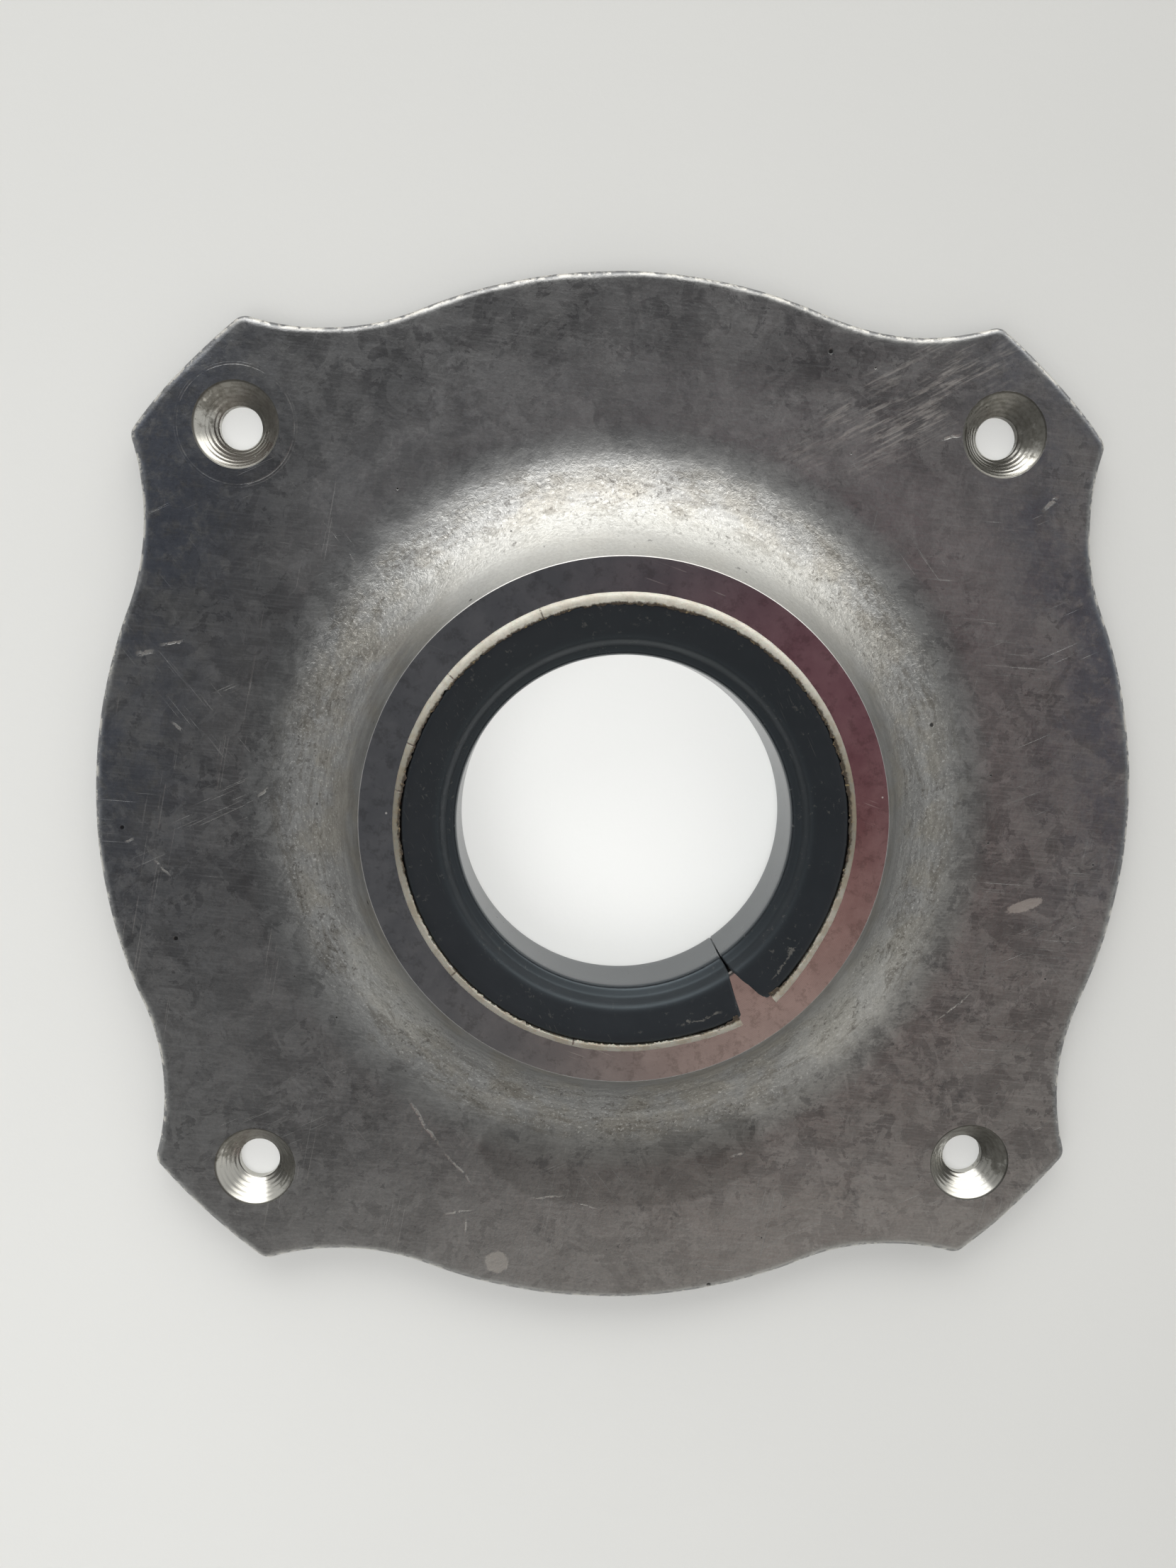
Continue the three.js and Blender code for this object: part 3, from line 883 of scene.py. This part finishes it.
def turned_face():
    """The hub's machined face: mirror-like along its fine rings, blotched, with pale specks, and with
    painted shade on the bore's wall and chamfer behind the liner.
    """
    g = Graph("turned_face", Metallic=1.0, Anisotropic=0.6)
    marks = turning_marks(g, g.radius, 0.22)
    haze = g.noise(4, 5, 0.65)
    blotch = g.rise(g.noise(1.8, 5, 0.75), 0.5, 0.64)
    specks = g.dots(2.6, 0.2, 0.14)
    pits = g.dots(6, 0.4, 0.2)
    nicks = scratches(g, 20 * DEG, 0.1, 3, 0.07, (1, 1, 1))
    light = g.largest(g.product(specks, 0.8), g.product(nicks, 0.5))
    base = g.tint(g.rise(haze, 0.35, 0.7), (0.40, 0.395, 0.40), (0.48, 0.47, 0.47))
    # Painted shade: the bore's wall and chamfer, hidden behind the liner, are darkened and dulled.
    wall = g.largest(g.rise(g.z, 17.45, 17.3), g.rise(g.radius, 24.9, 24.6))
    g.set("Base Color", g.layered(base, [
        (blotch, 0.36, (0.17, 0.165, 0.155)),
        (pits, 0.9, (0.04, 0.03, 0.03)),
        # painted shade on the bore's wall
        (wall, 0.8, (0.12, 0.11, 0.1)),
        (light, 1, (0.9, 0.88, 0.84)),
    ]))
    g.set("Roughness", g.mix(g.largest(light, wall), g.mix(haze, 0.13, 0.22), 0.5))
    tangent = g.node("Tangent")
    tangent.direction_type = "RADIAL"
    tangent.axis = "Z"
    g.set("Tangent", tangent.outputs[0])
    g.set("Normal", g.bump(marks, 0.0025))
    return g.material


def turned_cone():
    """Countersinks cut bright, with chattered rings about each hole, grime mixed with painted shade on
    their upper and right-hand sides, and dark rims.
    """
    g = Graph("turned_cone", Metallic=1.0)
    corner = HOLE_OFFSET / MM
    folded = g.vector("SUBTRACT", g.vector("ABSOLUTE", g.flat), (corner, corner, 0))
    radius = g.vector("LENGTH", folded)
    marks = turning_marks(g, radius, 0.5)
    hole = g.vector("MULTIPLY", g.vector("SIGN", g.flat), (corner, corner, 0))
    outward = g.vector("NORMALIZE", g.vector("SUBTRACT", g.flat, hole))
    # Painted shade: the grime is heavier on each countersink's upper side, and its right-hand side is
    # painted dark.
    upper = g.vector("DOT_PRODUCT", outward, (0.35, 0.93, 0))
    shaded = g.rise(g.vector("DOT_PRODUCT", outward, (0.94, 0.34, 0)), 0.2, 0.95)
    grime_and_painted_shade = g.rise(g.total(g.noise(1.3, 5, 0.72), g.product(upper, 0.28)), 0.4, 0.62)
    rim = g.rise(radius, 5.5, 5.72)
    film = g.tint(g.rise(g.noise(0.9, 4, 0.7), 0.36, 0.62), (0.2, 0.19, 0.165), (0.34, 0.33, 0.30))
    base = g.tint(g.product(grime_and_painted_shade, 0.85), (0.6, 0.59, 0.55), film)
    base = g.tint(g.product(g.largest(g.product(shaded, 0.75), rim), 0.8), base, (0.07, 0.068, 0.06))
    g.set("Base Color", base)
    g.set("Roughness", g.mix(g.largest(grime_and_painted_shade, rim), 0.2, 0.45))
    g.set("Normal", g.bump(marks, 0.05))
    return g.material


def black_polymer():
    """Moulded black plastic: fine matte skin, rubbed specks and pale stress marks by the split."""
    g = Graph("black_polymer", IOR=1.5, Specular_Tint=(0.74, 0.9, 1.0, 1))
    skin = g.noise(0.35, 3, 0.6)
    rings = turning_marks(g, g.radius, 0.6)
    scuff = g.product(g.rise(g.noise(0.8, 4, 0.7), 0.6, 0.68), g.rise(g.noise(6, 3, 0.6), 0.42, 0.6))
    specks = g.dots(2.3, 0.13, 0.16)
    wisps = scratches(g, 65 * DEG, 0.08, 3, 0.09, (2, 9, 4))
    away = g.math("SUBTRACT", g.math("ARCTAN2", g.y, g.x), SPLIT_ANGLE - 2 * math.pi)
    aside = g.math("ABSOLUTE", away)
    wander = g.math("MULTIPLY_ADD", g.noise(1.6, 3, 0.65), 2.2, -1.1)
    crease = g.band(g.total(g.radius, wander, g.product(aside, 3)), 28.5, 0.22)
    beside = g.product(g.rise(aside, 0.13, 0.17), g.rise(aside, 0.38, 0.32))
    stress = g.product(crease, beside, g.rise(g.noise(0.5, 4, 0.7), 0.42, 0.54))
    pale = g.largest(g.product(stress, 0.6), g.product(scuff, 0.3), g.product(specks, 0.5),
                     g.product(wisps, 0.25))
    base = g.tint(g.noise(4, 3, 0.6), (0.016, 0.018, 0.021), (0.026, 0.028, 0.032))
    g.set("Base Color", g.tint(pale, base, (0.2, 0.19, 0.17)))
    rough = g.mix(g.rise(g.radius, 23, 22.4), g.mix(g.noise(3, 3, 0.6), 0.36, 0.48), 0.2)
    g.set("Roughness", g.mix(pale, rough, 0.65))
    g.set("Normal", g.bump(skin, 0.01, g.bump(rings, 0.005)))
    return g.material


# Angles where the bead has cracked across.
CRACKS = [112 * DEG, 139.4 * DEG, 159 * DEG, 171 * DEG, -139 * DEG, -103 * DEG]


def sealant_masks(g):
    """Where the bead gets its painted highlight at the top, and where it is low, beside the notch, thinned
    to a film, stained and cracked.
    """
    m = SimpleNamespace()
    angle = g.math("ARCTAN2", g.y, g.x)
    aside = g.math("ABSOLUTE", g.math("SUBTRACT", angle, SPLIT_ANGLE - 2 * math.pi))
    # Painted highlight: the bead's top, facing the window's light, is painted light cream and less
    # stained.
    m.clean = g.rise(g.math("COSINE", g.math("SUBTRACT", angle, 92 * DEG)), 0.1, 0.95)
    m.lower = g.rise(g.y, 0, -14)
    m.by_notch = g.rise(aside, 24 * DEG, 8 * DEG)
    pushed_out = g.rise(aside, 30 * DEG, 2 * DEG, BEAD_BULGE / MM)
    wobble = g.math("MULTIPLY_ADD", g.noise(0.7, 4, 0.7), 0.9, -0.45)
    depth = g.math("SUBTRACT", g.total(wobble, pushed_out, BEAD_RADIUS / MM), g.radius)
    film_start = g.mix(g.largest(m.clean, g.product(m.lower, 0.85)), 0.75, 1.25)
    m.film = g.rise(g.math("SUBTRACT", depth, film_start), -0.12, 0.2)
    m.stain = g.rise(g.noise(2.2, 4, 0.7), 0.42, 0.6)
    m.dirt = g.rise(g.noise(0.4, 3, 0.65), 0.55, 0.66)
    m.crumbs = g.product(g.rise(g.noise(0.5, 3), 0.6, 0.68), m.film)
    cracks = g.largest(*[g.band(angle, place, 0.28 * DEG) for place in CRACKS])
    m.crack = g.product(cracks, g.rise(g.noise(0.5, 2), 0.36, 0.46))
    return m


def cream_sealant():
    """Cured sealant: cream with a painted highlight at the top, dull elsewhere, brown where its film thins
    inward.
    """
    g = Graph("cream_sealant", IOR=1.45, Subsurface_Weight=0.1, Subsurface_Scale=0.6 * MM)
    m = sealant_masks(g)
    g.set("Base Color", g.layered(g.tint(m.lower, (0.27, 0.255, 0.21), (0.54, 0.52, 0.45)), [
        (m.by_notch, 1, (0.58, 0.555, 0.48)),
        # painted highlight on the bead's top
        (m.clean, 1, (0.82, 0.80, 0.71)),
        (m.stain, g.mix(m.clean, 0.35, 0.22), (0.30, 0.22, 0.12)),
        (m.film, 1, (0.085, 0.068, 0.05)),
        (m.dirt, g.mix(m.film, 0.12, 0.8), (0.03, 0.027, 0.024)),
        (m.crumbs, 0.7, (0.42, 0.33, 0.18)),
        (m.crack, 0.75, (0.1, 0.06, 0.05)),
    ]))
    g.set("Roughness", g.mix(m.film, 0.36, g.mix(m.dirt, 0.3, 0.6)))
    ridges = g.bump(g.noise(0.5, 4, 0.65), 0.07)
    g.set("Normal", g.bump(g.math("SUBTRACT", 1, m.crack), 0.06, ridges))
    return g.material


def pale_paper():
    g = Graph("pale_floor", Roughness=0.75)
    g.set("Base Color", g.tint(g.noise(60, 3, 0.6), (0.73, 0.737, 0.722), (0.75, 0.757, 0.74)))
    g.set("Normal", g.bump(g.noise(1.2, 3, 0.6), 0.02))
    return g.material


# ---- Stage, light and camera ----

CAMERA_PLACE = Vector((-10.18, 25.38, 176.8)) * MM
CAMERA_AIM = Vector((-4.36, 3.28, 0)) * MM
CAMERA_TILT = 0.26 * DEG
CAMERA_LENS = 28.32
CAMERA_SENSOR = 36

# The sky's colour, and what each lobe adds to it: direction, the cosines of the angles from it
# where the lobe starts and where it is full, and the colour added.
SKY_COLOUR = (0.62, 0.62, 0.605)
SKY_LOBES = [
    ((0, 0, 1), 0.34, 0.80, (-0.34, -0.34, -0.325)),          # the dark side, where the viewer stands
    ((-0.08, 0.0, 1), 0.86, 0.95, (-0.15, -0.145, -0.135)),
    ((0.14, 1, -0.3), 0.40, 0.78, (2.35, 2.31, 2.2)),         # the window
    ((0.38, -0.66, 0.64), 0.75, 0.97, (0.19, 0.17, 0.14)),    # the table's glow
    ((0.175, -0.298, 0.938), 0.987, 0.998, (0.32, 0.16, 0.11)),    # warm cloth beside the viewer
    ((0.25, -0.09, 0.96), 0.978, 0.996, (0.12, -0.04, -0.025)),    # its redder side
    ((0.25, -0.185, 0.95), 0.9943, 0.998, (-0.15, -0.12, -0.12)),  # and a fold in it
]
SKY_LEAST = (0.02, 0.02, 0.02)


def make_floor():
    bpy.ops.mesh.primitive_grid_add(x_subdivisions=8, y_subdivisions=8, size=6, location=(0, 0, 0))
    floor = bpy.context.object
    floor.name = "floor"
    floor.data.materials.append(pale_paper())
    return floor


def sky_lobe(tree, direction, towards, start, full):
    """1 towards a direction, 0 away from it, between the cosines of two angles from it."""
    ramp = tree.nodes.new("ShaderNodeMapRange")
    ramp.interpolation_type = "SMOOTHSTEP"
    cosine = vector_node(tree, "DOT_PRODUCT", direction, Vector(towards).normalized())
    feed(tree, ramp.inputs["Value"], cosine)
    feed(tree, ramp.inputs["From Min"], start)
    feed(tree, ramp.inputs["From Max"], full)
    return ramp.outputs[0]


def make_sky():
    """A pale surround, dark overhead and brightest low towards +Y."""
    world = bpy.data.worlds.new("studio")
    bpy.context.scene.world = world
    world.use_nodes = True
    tree = world.node_tree
    tree.nodes.clear()
    direction = tree.nodes.new("ShaderNodeTexCoord").outputs["Generated"]
    light = SKY_COLOUR
    for towards, start, full, amount in SKY_LOBES:
        share = sky_lobe(tree, direction, towards, start, full)
        light = vector_node(tree, "ADD", vector_node(tree, "SCALE", amount, scale=share), light)
    background = tree.nodes.new("ShaderNodeBackground")
    feed(tree, background.inputs["Color"], vector_node(tree, "MAXIMUM", light, SKY_LEAST))
    output = tree.nodes.new("ShaderNodeOutputWorld")
    feed(tree, output.inputs[0], background.outputs[0])


def add_lamp(name, light, place, target):
    obj = bpy.data.objects.new(name, light)
    obj.location = place
    obj.rotation_euler = (Vector(target) - Vector(place)).to_track_quat("-Z", "Y").to_euler()
    bpy.context.scene.collection.objects.link(obj)
    return obj


def softbox(name, place, size, power, target=(0, 0, 0)):
    light = bpy.data.lights.new(name, "AREA")
    light.shape = "RECTANGLE"
    light.size, light.size_y = size
    light.energy = power
    return add_lamp(name, light, place, target)


def light_only(lamp, target, shaded):
    """The lamp lights the target alone. With shaded False, the other pieces don't shade it."""
    group = bpy.data.collections.new(lamp.name + "_target")
    group.objects.link(target)
    lamp.light_linking.receiver_collection = group
    if not shaded:
        lamp.light_linking.blocker_collection = group


def snoot(name, target, radius, power, floor):
    """A narrow beam from the camera's place, for the floor seen through a hole."""
    light = bpy.data.lights.new(name, "SPOT")
    light.energy = power
    light.spot_size = 2 * math.atan(radius / (CAMERA_PLACE - Vector(target)).length)
    light.spot_blend = 0.1
    light.shadow_soft_size = 0.5 * MM
    light_only(add_lamp(name, light, CAMERA_PLACE, target), floor, shaded=True)


def make_camera():
    """Close over the part, a little towards +Y and -X, as a hand-held phone would be."""
    back = (CAMERA_PLACE - CAMERA_AIM).normalized()
    level = Vector((math.cos(CAMERA_TILT), math.sin(CAMERA_TILT), 0))
    right = (level - back * level.dot(back)).normalized()
    camera = bpy.data.cameras.new("camera")
    camera.lens = CAMERA_LENS
    camera.sensor_width = CAMERA_SENSOR
    camera.clip_start = 10 * MM
    obj = bpy.data.objects.new("camera", camera)
    turn = Matrix((right, back.cross(right), back)).transposed()
    obj.matrix_world = Matrix.Translation(CAMERA_PLACE) @ turn.to_4x4()
    bpy.context.scene.collection.objects.link(obj)
    bpy.context.scene.camera = obj


# ---- Assembly ----

def place_piece(piece, node):
    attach(piece, "root")
    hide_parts(node)


make_camera()
make_sky()
floor = make_floor()
softbox("key", (-0.25, 0.75, 0.5), (0.7, 0.5), 1.5)
near_fill = softbox("near_floor_fill", (-0.13, -0.11, 0.36), (0.25, 0.25), 0.66, (-0.07, -0.04, 0))
light_only(near_fill, floor, shaded=False)
far_fill = softbox("far_floor_fill", (0, 0.55, 0.35), (0.8, 0.4), 0.2, (0, 0.7, 0))
light_only(far_fill, floor, shaded=False)
snoot("bore_light", (0, 0, 0), LINER_BORE_RADIUS + 1.8 * MM, 0.8, floor)
for hole_x, hole_y in HOLE_PLACES:
    snoot("hole_light", (hole_x, hole_y, 0), HOLE_RADIUS + 1 * MM, 0.5, floor)
bpy.context.scene.view_settings.view_transform = "Standard"

place_piece(make_flange(), "base_flange")
place_piece(make_liner(), "split_liner")
place_piece(make_bead(), "sealant_bead")
